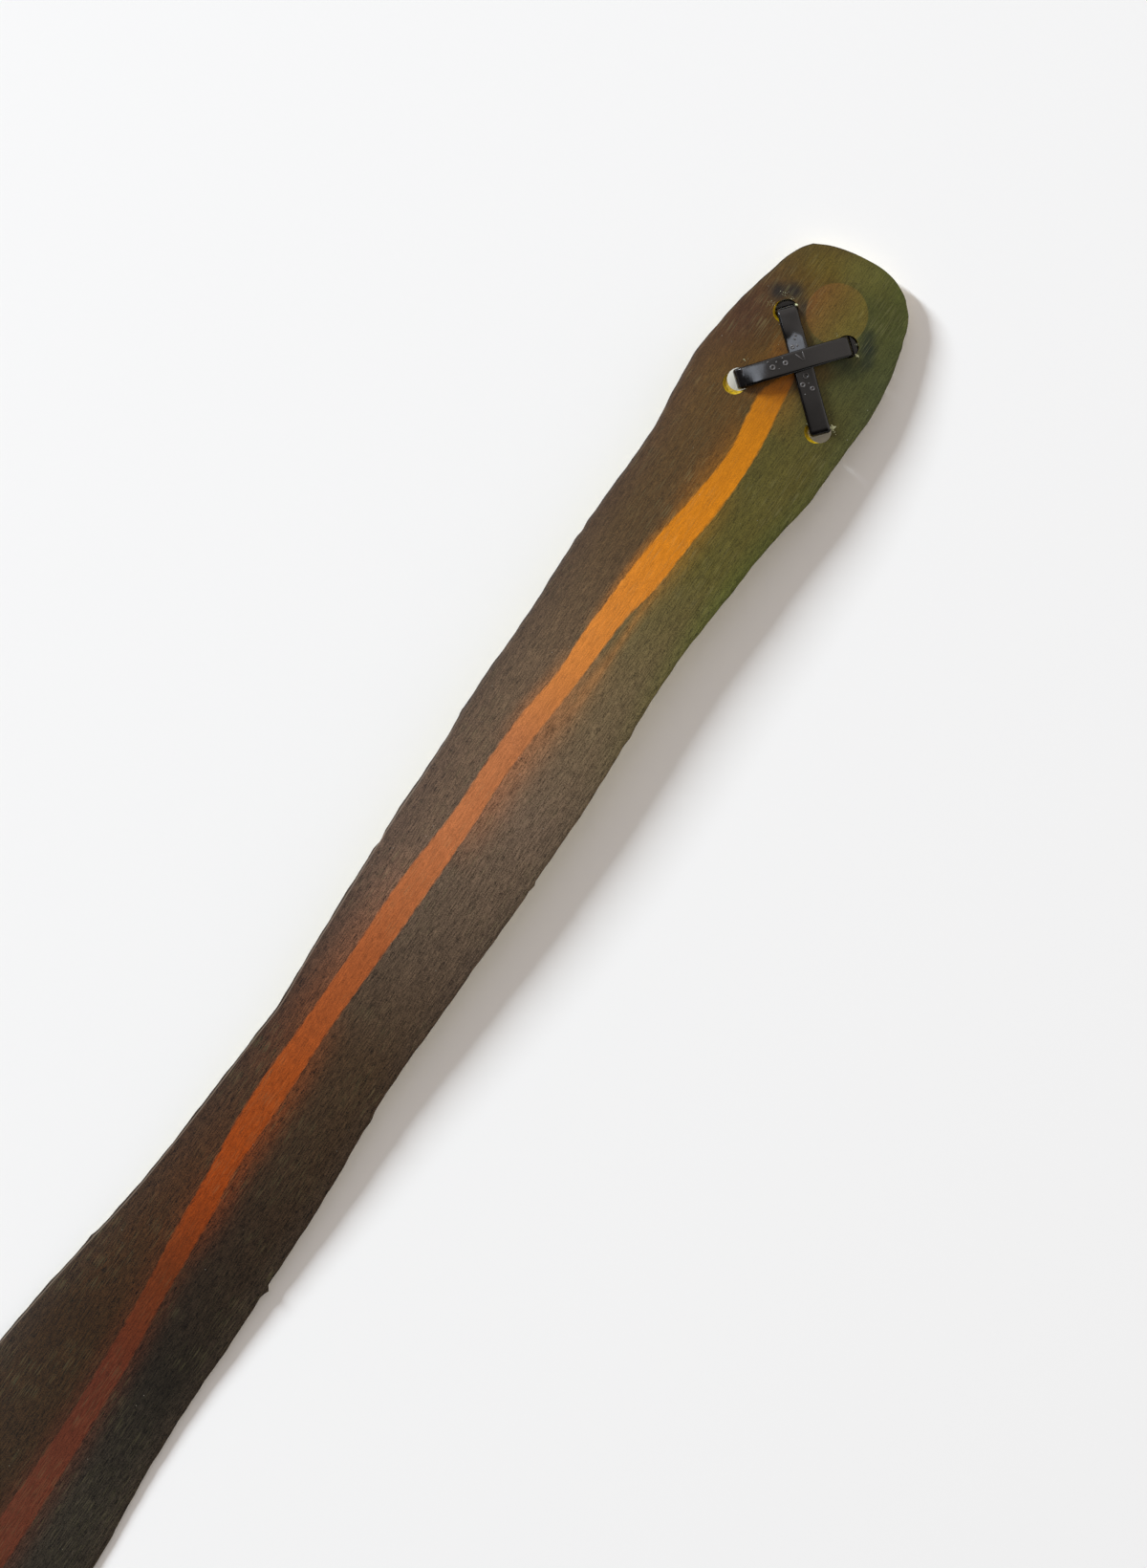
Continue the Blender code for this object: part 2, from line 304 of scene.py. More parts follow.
def spot(tree, coords, station, across, radii, soft):
    """A soft patch on the plan: 1 in its middle, 0 past its rim, with radii across and along in mm."""
    middle = (across * MM, (HEAD_Y - station) * MM, 0)
    away = add(tree, "VectorMath", {0: coords, 1: middle}, operation="SUBTRACT").outputs[0]
    reach = (1 / (radii[0] * MM), 1 / (radii[1] * MM), 0)
    scaled = add(tree, "VectorMath", {0: away, 1: reach}, operation="MULTIPLY").outputs[0]
    far = add(tree, "VectorMath", {0: scaled}, operation="LENGTH").outputs["Value"]
    return add(tree, "MapRange", {0: far, 1: 1, 2: 1 - soft, 3: 0, 4: 1}, interpolation_type="SMOOTHSTEP")


# Patches of the head's paint, and painted shade beside the straps: station, place across, radii across and
# along, softness, strength, colour.
HEAD_PAINT_AND_SHADE = [
    (6.2, -5.5, (8.0, 6.0), 0.9, 0.35, "5c5218"),
    (3.0, 2.5, (10.0, 7.0), 0.9, 0.55, "5f5a28"),
    (23.8, -14.0, (9.0, 16.0), 0.9, 0.8, "402718"),
    (25.5, -8.0, (4.0, 5.0), 0.9, 0.5, "40280f"),
    (26.0, -3.8, (3.2, 5.0), 0.9, 0.35, "6e4214"),
    (25.8, 6.4, (4.0, 4.0), 0.9, 0.3, "6a4a18"),
    # The near-black patches round the upper holes are painted shade beside the straps and their holes.
    (16.6, -11.0, (3.2, 3.2), 0.9, 0.9, "1f1c1a"),
    (14.6, -8.2, (3.6, 3.2), 0.9, 0.9, "1f1c1a"),
    (16.6, -4.6, (2.8, 3.6), 0.9, 0.8, "2c241c"),
    (13.7, 10.6, (2.4, 2.6), 0.9, 0.7, "1d241a"),
    (16.0, 12.0, (3.0, 3.0), 0.9, 0.85, "19211a"),
    (18.6, 13.4, (2.8, 3.2), 0.9, 0.7, "1d241a"),
    (21.6, 10.2, (5.0, 3.0), 0.9, 0.5, "232c18"),
]


def painted_sheet():
    """Acrylic paint airbrushed on sheet plastic and rubbed lengthwise with fine abrasive paper.

    Thin brown and green coats lie over the sheet, and the stripe is sprayed over them. Near the
    arch's crown, coats and stripe are lighter and greyer, partly painted sheen. The fine scratches
    all run along the leaf, so its sheen spreads across it and stays short along it.
    """
    mat, tree, output = new_material("airbrushed_acrylic_on_sheet")
    coords = add(tree, "TexCoord").outputs["Object"]
    plan = add(tree, "SeparateXYZ", {0: coords})
    ends = {0: plan.outputs["Y"], 1: HEAD_Y * MM, 2: -HEAD_Y * MM, 3: 0, 4: 1}
    share = add(tree, "MapRange", ends).outputs[0]

    def coat(*stops):
        """A coat whose colour changes along the leaf, given as stations and hex colours."""
        steps = [(station / LENGTH, srgb(code)) for station, code in stops]
        return add(tree, "ValToRGB", {"Fac": share}, stops=steps).outputs["Color"]

    def over(under, share, colour):
        """A colour laid over the paint so far, by this share."""
        return add(tree, "Mix", {0: share, 6: under, 7: colour}, data_type="RGBA").outputs[2]

    def layer(name):
        return add(tree, "Attribute", attribute_name=name).outputs["Fac"]

    # Both coats are lighter and greyer from about station 100 to 180. This is partly the paint's own tone,
    # partly painted sheen where the arch's crown catches the light.
    brown = coat(
        (0, "4f3e10"), (30, "523913"), (75, "4e3a20"), (112, "5f4c38"), (168, "5e4a3b"),
        (200, "463020"), (245, "412814"), (285, "2e1d0a"), (320, "302111"), (LENGTH, "2c2012"),
    )
    green = coat(
        (0, "43441a"), (22, "424523"), (45, "534c20"), (75, "575022"), (108, "69593e"), (140, "685645"),
        (175, "564637"), (205, "41301f"), (245, "302317"), (285, "211c15"), (318, "2e2921"),
        (LENGTH, "28241d"),
    )
    right = layer("right")
    ground = over(brown, right, green)

    # The paint is darker in a band along the border, browner on the left and greener on the right.
    left_rim = coat(
        (0, "483c1a"), (30, "462f1e"), (75, "3c2b22"), (110, "3c2e24"), (150, "46362c"),
        (180, "3a2b22"), (210, "2a201a"), (250, "32261c"), (285, "34291f"), (LENGTH, "3a3026"),
    )
    right_rim = coat(
        (0, "464c20"), (25, "4a5030"), (50, "4d5228"), (80, "4e5a26"), (105, "54502c"), (130, "5a4e3c"),
        (170, "463a30"), (210, "3a2d22"), (250, "3a3026"), (LENGTH, "3e362e"),
    )
    reach = add(tree, "MapRange", {0: right, 1: 0, 2: 1, 3: 6.0, 4: 4.4}).outputs[0]
    border = add(tree, "MapRange", {0: layer("rim"), 1: reach, 2: 0, 3: 0, 4: 0.62}).outputs[0]
    ground = over(ground, border, over(left_rim, right, right_rim))

    # Each patch is laid over the paint. The near-black ones are painted shade beside the straps.
    for station, across, radii, soft, strength, code in HEAD_PAINT_AND_SHADE:
        patch = spot(tree, coords, station, across, radii, soft).outputs[0]
        held = add(tree, "Math", {0: patch, 1: strength}, operation="MULTIPLY").outputs[0]
        ground = over(ground, held, srgb(code))

    # The painter's disc: a thin round wash over the head end, orange-brown on the left, olive on the right.
    disc = spot(tree, coords, 13.5, 2.2, (6.9, 6.9), 0.05).outputs[0]
    wash = add(tree, "Math", {0: disc, 1: 0.62}, operation="MULTIPLY").outputs[0]
    turn = add(tree, "MapRange", {0: plan.outputs["X"], 1: -3.5 * MM, 2: 6 * MM, 3: 0, 4: 1}).outputs[0]
    ground = over(ground, wash, over(srgb("6e4820"), turn, srgb("6b5a20")))

    # The stripe runs from amber near the head to rust and then a dull red-brown. From about station 100
    # to 185 it is lighter and greyer, partly painted sheen of the arch's crown.
    ochre = coat(
        (28, "9a5a04"), (45, "ba7202"), (75, "cb7a0c"), (105, "c67931"), (128, "ad6a3d"),
        (150, "b1693c"), (185, "9b5125"), (215, "93430f"), (243, "8b3903"), (265, "652c0a"),
        (290, "582715"), (320, "592b1a"), (LENGTH, "4a2618"),
    )
    ground = over(ground, layer("mist"), ochre)
    streaks = brushed(tree, 0.24, 1.8, 0)
    ragged = add(tree, "MapRange", {0: streaks, 1: 0.3, 2: 0.7, 3: -0.1, 4: 0.1}).outputs[0]
    depth = add(tree, "Math", {0: layer("stripe"), 1: ragged}, operation="ADD").outputs[0]
    inside = {0: depth, 1: -0.12, 2: 0.43, 3: 0, 4: 1}
    bare = add(tree, "MapRange", inside, interpolation_type="SMOOTHSTEP").outputs[0]
    ground = over(ground, bare, ochre)

    # Rubbing leaves streaks, fine grain and broad bands in every coat, most of all in the dark ones.
    long_streaks = brushed(tree, 0.28, 5.0, 0)
    grain = add(tree, "TexNoise", {"Vector": coords, "Scale": 1 / (0.22 * MM), "Detail": 0}).outputs[0]
    both = add(tree, "Math", {0: long_streaks, 1: 0.7, 2: streaks}, operation="MULTIPLY_ADD").outputs[0]
    rubbed = add(tree, "Math", {0: grain, 1: 1.3, 2: both}, operation="MULTIPLY_ADD").outputs[0]
    strength = add(tree, "MapRange", {0: share, 1: 0, 2: 250 / LENGTH, 3: 0.65, 4: 1.65}).outputs[0]
    held = add(tree, "MapRange", {0: bare, 1: 0, 2: 1, 3: 1, 4: 0.45}).outputs[0]
    gain = add(tree, "Math", {0: strength, 1: held}, operation="MULTIPLY").outputs[0]
    centred = add(tree, "Math", {0: rubbed, 1: 1.5}, operation="SUBTRACT").outputs[0]
    lightness = add(tree, "Math", {0: centred, 1: gain, 2: 1}, operation="MULTIPLY_ADD").outputs[0]
    bands = brushed(tree, BAND_WIDTH, BAND_LENGTH, 2)
    banding = add(tree, "MapRange", {0: bands, 1: 0.3, 2: 0.7, 3: 0.92, 4: 1.08}).outputs[0]
    value = add(tree, "Math", {0: lightness, 1: banding}, operation="MULTIPLY").outputs[0]
    colour = add(tree, "HueSaturation", {"Color": ground, "Value": value}).outputs[0]

    # Longer pale scratches lie in groups, and fine dust has settled everywhere.
    scratches = brushed(tree, 0.2, 4.5, 0)
    groups = add(tree, "TexNoise", {"Vector": coords, "Scale": 1 / (14 * MM), "Detail": 1}).outputs[0]
    keen = add(tree, "MapRange", {0: scratches, 1: 0.58, 2: 0.7, 3: 0, 4: 0.18}).outputs[0]
    grouped = add(tree, "MapRange", {0: groups, 1: 0.45, 2: 0.6, 3: 0.1, 4: 1}).outputs[0]
    fading = add(tree, "MapRange", {0: share, 1: 60 / LENGTH, 2: 120 / LENGTH, 3: 1, 4: 0.6}).outputs[0]
    shown = add(tree, "Math", {0: grouped, 1: fading}, operation="MULTIPLY").outputs[0]
    scratched = add(tree, "Math", {0: keen, 1: shown}, operation="MULTIPLY").outputs[0]
    colour = over(colour, scratched, srgb("8f8a60"))
    grit = add(tree, "TexVoronoi", {"Vector": coords, "Scale": 1 / (2.2 * MM)})
    near = add(tree, "MapRange", {0: grit.outputs["Distance"], 1: 0.05, 2: 0.03, 3: 0, 4: 0.5}).outputs[0]
    pick = add(tree, "SeparateColor", {0: grit.outputs["Color"]}).outputs[0]
    kept = add(tree, "Math", {0: pick, 1: 0.75}, operation="GREATER_THAN").outputs[0]
    dust = add(tree, "Math", {0: near, 1: kept}, operation="MULTIPLY").outputs[0]
    colour = over(colour, dust, srgb("b8b4a4"))

    # The knife left the very edge dark. Along the lower left edge, on the lamp's side, a fine pale line
    # beside it is painted highlight, where the broken edge catches the light.
    edge_glint_band = add(tree, "Math", {0: layer("rim"), 1: 0.42, 2: 0.13}, operation="COMPARE").outputs[0]
    begun = add(tree, "MapRange", {0: share, 1: 125 / LENGTH, 2: 150 / LENGTH, 3: 0, 4: 0.4}).outputs[0]
    on_left = add(tree, "Math", {0: right, 1: 0.2}, operation="LESS_THAN").outputs[0]
    edge_glint_shown = add(tree, "Math", {0: begun, 1: on_left}, operation="MULTIPLY").outputs[0]
    painted_edge_glint = add(tree, "Math", {0: edge_glint_band, 1: edge_glint_shown}, operation="MULTIPLY").outputs[0]
    colour = over(colour, painted_edge_glint, srgb("8c7c6c"))
    worn = add(tree, "MapRange", {0: layer("rim"), 1: 0.3, 2: 0.15, 3: 0, 4: 0.6}).outputs[0]
    edge = add(tree, "Math", {0: worn, 1: on_left}, operation="MULTIPLY").outputs[0]
    colour = over(colour, edge, srgb("241c14"))

    bump = add(tree, "Bump", {"Height": streaks, "Distance": 0.012 * MM, "Strength": 0.6})
    shader = add(
        tree,
        "BsdfPrincipled",
        {
            "Base Color": colour,
            "Roughness": add(tree, "MapRange", {0: streaks, 1: 0.2, 2: 0.8, 3: 0.36, 4: 0.42}).outputs[0],
            "Specular IOR Level": 0.15,
            "Anisotropic": 0.5,
            "Tangent": add(tree, "Tangent", direction_type="UV_MAP", uv_map="plan").outputs[0],
            "Normal": bump.outputs[0],
        },
    )
    tree.links.new(shader.outputs[0], output.inputs[0])
    return mat


def bare_sheet():
    """The sheet's unpainted back: pale straw plastic, dulled lengthwise by handling."""
    mat, tree, output = new_material("pale_straw_sheet_plastic")
    fine = brushed(tree, 0.64, 10.0, 2)
    broad = brushed(tree, BAND_WIDTH, BAND_LENGTH, 2)
    tones = [(0.3, srgb("c8b98a")), (0.7, srgb("d6c99c"))]
    colour = add(tree, "ValToRGB", {"Fac": broad}, stops=tones).outputs["Color"]
    dulled = add(tree, "MapRange", {0: fine, 1: 0.2, 2: 0.8, 3: 0.35, 4: 0.5}).outputs[0]
    shader = add(tree, "BsdfPrincipled", {"Base Color": colour, "Roughness": dulled, "IOR": 1.5})
    tree.links.new(shader.outputs[0], output.inputs[0])
    return mat


def cut_core():
    """The same plastic freshly cut: its clear golden yellow, a little scraped."""
    mat, tree, output = new_material("golden_yellow_cut_core")
    coords = add(tree, "TexCoord").outputs["Object"]
    scrape = add(tree, "TexNoise", {"Vector": coords, "Scale": 1 / (0.4 * MM), "Detail": 2}).outputs[0]
    tones = [(0.35, srgb("8f7400")), (0.6, srgb("b89808"))]
    colour = add(tree, "ValToRGB", {"Fac": scrape}, stops=tones).outputs["Color"]
    shader = add(tree, "BsdfPrincipled", {"Base Color": colour, "Roughness": 0.4, "IOR": 1.5})
    tree.links.new(shader.outputs[0], output.inputs[0])
    return mat


def swarf():
    """Crumbs of the sheet that the drill tore off: pale greenish yellow, matt where the plastic is torn."""
    mat, tree, output = new_material("torn_sheet_swarf")
    coords = add(tree, "TexCoord").outputs["Object"]
    torn = add(tree, "TexNoise", {"Vector": coords, "Scale": 1 / (0.3 * MM), "Detail": 1}).outputs[0]
    tones = [(0.4, srgb("a8ad7c")), (0.6, srgb("dcdfba"))]
    colour = add(tree, "ValToRGB", {"Fac": torn}, stops=tones).outputs["Color"]
    shader = add(tree, "BsdfPrincipled", {"Base Color": colour, "Roughness": 0.5, "IOR": 1.5})
    tree.links.new(shader.outputs[0], output.inputs[0])
    return mat


paint, back, core, crumbs = painted_sheet(), bare_sheet(), cut_core(), swarf()
for mat in (paint, back, core):
    flat.data.materials.append(mat)
drills.data.materials.append(core)
drills.hide_render = True

# Sprung to its arch and crown, with the back left bare and the paint's layers measured at every point.
cut_flat = bpy.data.meshes.new_from_object(flat.evaluated_get(bpy.context.evaluated_depsgraph_get()))
for used in (flat, drills):
    bpy.data.objects.remove(used)
bm = bmesh.new()
bm.from_mesh(cut_flat)
for face in bm.faces:
    if face.material_index == 0 and face.normal.z < -0.5:
        face.material_index = 1
bmesh.ops.triangulate(bm, faces=[f for f in bm.faces if len(f.verts) > 4])
places = np.array([v.co for v in bm.verts]) / MM
across, stations = places[:, 0], HEAD_Y - places[:, 1]
heights = places[:, 2] + underside(across, stations)
layers = {
    "stripe": stripe_depth(across, stations),
    "mist": overspray(across, stations),
    "rim": rim_distance(across, stations),
    "right": right_share(across, stations),
}
slots = {name: bm.verts.layers.float.new(name) for name in layers}
plan = bm.loops.layers.uv.new("plan")
for v, height, *values in zip(bm.verts, heights, *layers.values(), strict=True):
    v.co.z = height * MM
    for name, value in zip(layers, values, strict=True):
        v[slots[name]] = value
for face in bm.faces:
    for loop in face.loops:
        loop[plan].uv = loop.vert.co.xy

# Crumbs cling round the holes: station, place across, how far a group spreads, how many, and their size.
CRUMBS = [
    (34.4, 15.2, 0.5, 16, 0.4), (34.9, 15.9, 0.5, 6, 0.16), (16.8, -6.2, 0.3, 7, 0.26),
    (16.2, -7.6, 0.4, 5, 0.12), (18.5, 10.7, 0.35, 9, 0.28), (16.3, 9.4, 0.5, 6, 0.12),
    (19.5, -10.4, 0.9, 12, 0.1), (16.2, -9.8, 0.9, 9, 0.1), (32.9, -8.8, 0.6, 7, 0.12),
    (17.4, 4.7, 0.5, 6, 0.1), (36.8, 10.4, 0.5, 5, 0.1), (24.0, -2.0, 5.0, 14, 0.07),
]
rng = np.random.default_rng(11)
for station, across, spread, count, size in CRUMBS:
    for _ in range(count):
        x, y = rng.normal((across, HEAD_Y - station), spread / 2)
        radius = size * rng.uniform(0.5, 1) * MM
        made = bmesh.ops.create_icosphere(bm, subdivisions=1, radius=radius)["verts"]
        for v in made:
            v.co *= rng.uniform(0.6, 1.2)
        bmesh.ops.scale(bm, verts=made, vec=(1, rng.uniform(0.4, 0.9), 0.6))
        turned = Matrix.Rotation(rng.uniform(0, np.pi), 3, "Z")
        turned = turned @ Matrix.Rotation(rng.uniform(-0.5, 0.5), 3, "X")
        bmesh.ops.rotate(bm, verts=made, cent=(0, 0, 0), matrix=turned)
        on_top = Vector((x, y, underside(x, HEAD_Y - y) + SHEET))
        bmesh.ops.translate(bm, verts=made, vec=on_top * MM)
        for face in {f for v in made for f in v.link_faces}:
            face.material_index = 3
blade = linked("blade", bm, [paint, back, core, crumbs])
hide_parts("leaf_blade")
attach(blade, "root")

# ------------------------------------------------------------------------------------------- cable ties
# Two plain cable ties, moulded in black nylon, each a strap with its head. The strap leaves the head
# under the upper hole, runs along the back, comes up through the lower hole, crosses the face, and goes
# down the upper hole into its own head, where the tail is cut off flush.
SHEET_GAP, TIE_GAP = 0.4, 0.3
STRAP_WIDTH, STRAP = 4.5, 1.0
CHAMFER_WIDE, CHAMFER_DEEP = 0.46, 0.36
LEG_OUTSET, BACK_BEND = 0.3, 0.85
HEAD_LENGTH, HEAD_WIDTH, HEAD_HEIGHT, HEAD_ROUND = 6.6, 7.4, 4.2, 0.7
HEAD_FROM_SLOT = 0.9
STRAP_DROP, ROOT_REACH = 0.2, 5.0
TAIL_RECESS = 0.1
DIP_REACH = 6.2
TOOTH_PITCH, TOOTH_DEPTH, RAIL = 1.1, 0.24, 0.7  # the strap's inner face, toothed between two plain rails
PATH_STEP = 0.16
# Height of each strap's middle line over the sheet's underside, by distance from the upper hole.
UNDER_FACE = [(0, 1.55), (4, 1.58), (8, 1.74), (11, 1.92), (14, 1.96), (20, 1.75), (24, 1.5), (27.1, 1.35)]
OVER_FACE = [
    (0, 1.75), (2.5, 2.35), (5.5, 2.95), (9, 3.3), (12.2, 3.4), (16, 3.3), (19, 3.08), (21, 2.72),
    (22.5, 2.25), (24.5, 1.45),
]
# How far each strap is twisted as it crosses the face, in degrees, by distance from the upper hole.
UNDER_TWIST = [(0, 0), (4.5, 1), (6, 10), (9, 11), (12, 3), (16, -3), (27, 0)]
OVER_TWIST = [(0, 0), (8, 0), (13, 2), (17, 6), (21, 9), (24, 3), (25, 0)]


def crossing():
    """Where the two straps cross on the plan."""
    a, b = (place(hole) for hole in UNDER_HOLES)
    c, d = (place(hole) for hole in OVER_HOLES)
    along, other = b - a, d - c
    return a + along * ((c - a).cross(other) / along.cross(other))


def creased(before, corner, after, radius):
    """The corner turned into an arc of this radius."""
    back, on = (before - corner).normalized(), (after - corner).normalized()
    half = back.angle(on) / 2
    middle = corner + (back + on).normalized() * radius / np.sin(half)
    start = corner + back * radius / np.tan(half) - middle
    end = corner + on * radius / np.tan(half) - middle
    turn = start.angle(end)
    points = []
    for t in np.linspace(0, 1, 11):
        points.append(middle + (start * np.sin((1 - t) * turn) + end * np.sin(t * turn)) / np.sin(turn))
    return points


def strap_line(upper, along, span, face, dip, bends):
    """The strap's middle line from its head round to its tail, as distances along the plan and heights."""
    cross_at = (crossing() - upper).length
    slot_at, leg_at = -LEG_OUTSET, span + LEG_OUTSET
    head_end = slot_at + HEAD_FROM_SLOT + HEAD_LENGTH / 2
    root_z = HEAD_HEIGHT - STRAP_DROP - STRAP / 2
    below = -(SHEET_GAP + STRAP / 2)

    def off_sheet(q, offset):
        p = upper + along * q
        return Vector((q, underside(p.x, HEAD_Y - p.y) + offset))

    line = [Vector((head_end - HEAD_LENGTH / 4, root_z)), Vector((head_end + SHEET_GAP, root_z))]
    for q in np.linspace(head_end, leg_at - 1.5, 40)[1:]:
        p = off_sheet(q, below)
        eased = root_z + (p.y - root_z) * np.sin(min((q - head_end) / ROOT_REACH, 1) * np.pi / 2)
        share = min(abs(q - cross_at) / DIP_REACH, 1)
        line.append(Vector((q, eased - dip * np.cos(share * np.pi / 2) ** 2)))
    ends = [leg_at - 1.3 * bends[0], slot_at + 1.3 * bends[1]]
    run = [off_sheet(q, through(face, q)) for q in np.linspace(*ends, 40)]
    low, high = off_sheet(leg_at, below), off_sheet(leg_at, through(face, leg_at))
    over, tail = off_sheet(slot_at, through(face, slot_at)), Vector((slot_at, TAIL_RECESS))
    line += creased(line[-1], low, high, BACK_BEND) + creased(low, high, run[0], bends[0])
    return line + run + creased(run[-1], over, tail, bends[1]) + [tail]


def strap_section():
    """The strap's outline across: the place across and out of each point, and 1 where it is toothed."""
    wide, thick = STRAP_WIDTH / 2, STRAP / 2
    ease = 0.06  # the corners of the chamfer are eased by this much
    corner = [
        (wide - CHAMFER_WIDE + ease, thick - 0.01),
        (wide - CHAMFER_WIDE + 2 * ease, thick - 0.05),
        (wide - ease, thick - CHAMFER_DEEP + ease),
        (wide, thick - CHAMFER_DEEP - ease),
        (wide, 0.12 - thick),
        (wide - 0.05, 0.04 - thick),
        (wide - 0.14, -thick),
    ]
    points = [(a, thick, 0) for a in np.linspace(CHAMFER_WIDE - wide, wide - CHAMFER_WIDE, 9)]
    points += [(a, out, 0) for a, out in corner]
    points += [(a, -thick, int(abs(a) < wide - RAIL)) for a in np.linspace(wide - RAIL, RAIL - wide, 8)]
    return points + [(-a, out, 0) for a, out in reversed(corner)]


def block(name, size, round_off, where):
    """A rounded block, for a tie's head and the slot in it."""
    bm = bmesh.new()
    bmesh.ops.create_cube(bm, size=1)
    bmesh.ops.scale(bm, verts=bm.verts, vec=Vector(size) * MM)
    if round_off:
        bmesh.ops.bevel(
            bm,
            geom=bm.edges[:],
            offset=round_off * MM,
            affect="EDGES",
            segments=4,
            profile=0.5,
            material=-1,
        )
    bmesh.ops.transform(bm, matrix=where, verts=bm.verts)
    return linked(name, bm)


def raised_marks(bm, marks, frame_at):
    """The mould's cavity marks, rings, dots and bars that stand off the strap: each its kind, its place
    along and across the strap, its size and its turn."""
    for kind, q, across, size, turned in marks:
        before = set(bm.verts)
        if kind == "ring":
            made = bmesh.ops.create_circle(bm, segments=16, radius=MARK * MM)["verts"]
            bmesh.ops.rotate(bm, verts=made, cent=(0, 0, 0), matrix=Matrix.Rotation(np.pi / 2, 3, "X"))
            bmesh.ops.translate(bm, verts=made, vec=(size * MM, 0, 0))
            edges = list({e for v in made for e in v.link_edges})
            bmesh.ops.spin(
                bm,
                geom=made + edges,
                cent=(0, 0, 0),
                axis=(0, 0, 1),
                angle=2 * np.pi,
                steps=20,
                use_merge=True,
            )
        else:
            bmesh.ops.create_uvsphere(bm, u_segments=16, v_segments=12, radius=MARK * MM)
        new = [v for v in bm.verts if v not in before]
        if kind == "bar":
            bmesh.ops.scale(bm, verts=new, vec=(size / MARK, 1, 1))
        bmesh.ops.transform(bm, matrix=frame_at(q, across) @ Matrix.Rotation(turned, 4, "Z"), verts=new)


def make_tie(name, holes, face, twist, dip, bends, marks):
    """One tie: its strap drawn along its line, its head with the slot, and the marks on its outer face."""
    upper, lower = place(holes[0]), place(holes[1])
    span = (lower - upper).length
    along = (lower - upper) / span
    side = Vector((along.y, -along.x, 0))
    line = strap_line(upper, along, span, face, dip, bends)
    steps = [(b - a).length for a, b in zip(line, line[1:], strict=False)]
    travelled = np.concatenate([[0], np.cumsum(steps)])
    count = int(travelled[-1] / PATH_STEP)
    distance = np.linspace(0, travelled[-1], count + 1)
    q, z = (np.interp(distance, travelled, [p[k] for p in line]) for k in (0, 1))
    lean = np.stack([np.gradient(z), -np.gradient(q)])
    lean /= np.linalg.norm(lean, axis=0)
    on_face = distance > travelled[-1] / 2 - 2
    turned = np.radians(through(twist, q)) * on_face

    def on_strap(i, across, out):
        """The point this far across the strap and out from its middle line, at one step of the line."""
        lift = out * np.cos(turned[i]) - across * np.sin(turned[i])
        aside = across * np.cos(turned[i]) + out * np.sin(turned[i])
        plan = upper + along * (q[i] + lean[0, i] * lift)
        return (Vector((*plan, z[i] + lean[1, i] * lift)) + side * aside) * MM

    section = strap_section()
    bm = bmesh.new()
    bmesh.ops.create_grid(bm, x_segments=count, y_segments=len(section), size=1)
    for v in bm.verts:
        i = round((v.co.x + 1) / 2 * count)
        across, out, toothed = section[round((v.co.y + 1) / 2 * len(section)) % len(section)]
        tooth = distance[i] / TOOTH_PITCH % 1
        v.co = on_strap(i, across, out + toothed * TOOTH_DEPTH * (1 - tooth))
    bmesh.ops.remove_doubles(bm, verts=bm.verts, dist=0.0001 * MM)
    bmesh.ops.holes_fill(bm, edges=[e for e in bm.edges if e.is_boundary], sides=0)
    bmesh.ops.recalc_face_normals(bm, faces=bm.faces)

    turn = Matrix.Rotation(np.arctan2(along.y, along.x), 4, "Z")

    def stand(at, height):
        return Matrix.Translation(Vector((*(upper + along * at), height)) * MM) @ turn

    head_size = (HEAD_LENGTH, HEAD_WIDTH, HEAD_HEIGHT)
    head_stand = stand(HEAD_FROM_SLOT - LEG_OUTSET, HEAD_HEIGHT / 2)
    head = block(name + "_head", head_size, HEAD_ROUND, head_stand)
    slot_size = (STRAP + 2 * TIE_GAP, STRAP_WIDTH + 2 * TIE_GAP, 2 * HEAD_HEIGHT)
    slot = block(name + "_slot", slot_size, 0, stand(-LEG_OUTSET, HEAD_HEIGHT / 2))
    cut = head.modifiers.new("slot", "BOOLEAN")
    cut.solver = "EXACT"
    cut.object = slot
    slotted = bpy.data.meshes.new_from_object(head.evaluated_get(bpy.context.evaluated_depsgraph_get()))
    bm.from_mesh(slotted)
    for used in (head, slot):
        bpy.data.objects.remove(used)

    def frame_at(at, across):
        """A frame on the outer face of the run across the leaf, this far from the upper hole."""
        i = int(np.argmin(np.abs(q - at) + 100 * ~on_face))
        out = on_strap(i, across, 1) - on_strap(i, across, 0)
        out.normalize()
        beside = (on_strap(i, 1, 0) - on_strap(i, 0, 0)).normalized()
        axes = Matrix((beside.cross(out), beside, out)).transposed().to_4x4()
        return Matrix.Translation(on_strap(i, across, STRAP / 2)) @ axes

    strap_faces = set(bm.faces)
    raised_marks(bm, marks, frame_at)
    # The marks take the grey nylon, a painted highlight in place of their glints.
    for face in set(bm.faces) - strap_faces:
        face.material_index = 1
    tie = linked(name, bm, [nylon, mark_glint_grey])
    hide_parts(name)
    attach(tie, "root")
    return tie


def moulded_nylon(name, dark, light, smoothest, roughest):
    """Black nylon 6/6, injection moulded: semi-gloss, with a faint unevenness where the mould is worn."""
    mat, tree, output = new_material(name)
    coords = add(tree, "TexCoord").outputs["Object"]
    cloud = add(tree, "TexNoise", {"Vector": coords, "Scale": 1 / (3.0 * MM), "Detail": 3}).outputs[0]
    grain = add(tree, "TexNoise", {"Vector": coords, "Scale": 1 / (0.25 * MM), "Detail": 2}).outputs[0]
    tones = [(0.35, srgb(dark)), (0.65, srgb(light))]
    colour = add(tree, "ValToRGB", {"Fac": cloud}, stops=tones).outputs["Color"]
    bump = add(tree, "Bump", {"Height": grain, "Distance": 0.01 * MM, "Strength": 0.35})
    gloss = add(tree, "MapRange", {0: cloud, 1: 0.3, 2: 0.7, 3: smoothest, 4: roughest}).outputs[0]
    inputs = {"Base Color": colour, "Roughness": gloss, "IOR": 1.5, "Normal": bump.outputs[0]}
    shader = add(tree, "BsdfPrincipled", inputs)
    tree.links.new(shader.outputs[0], output.inputs[0])
    return mat
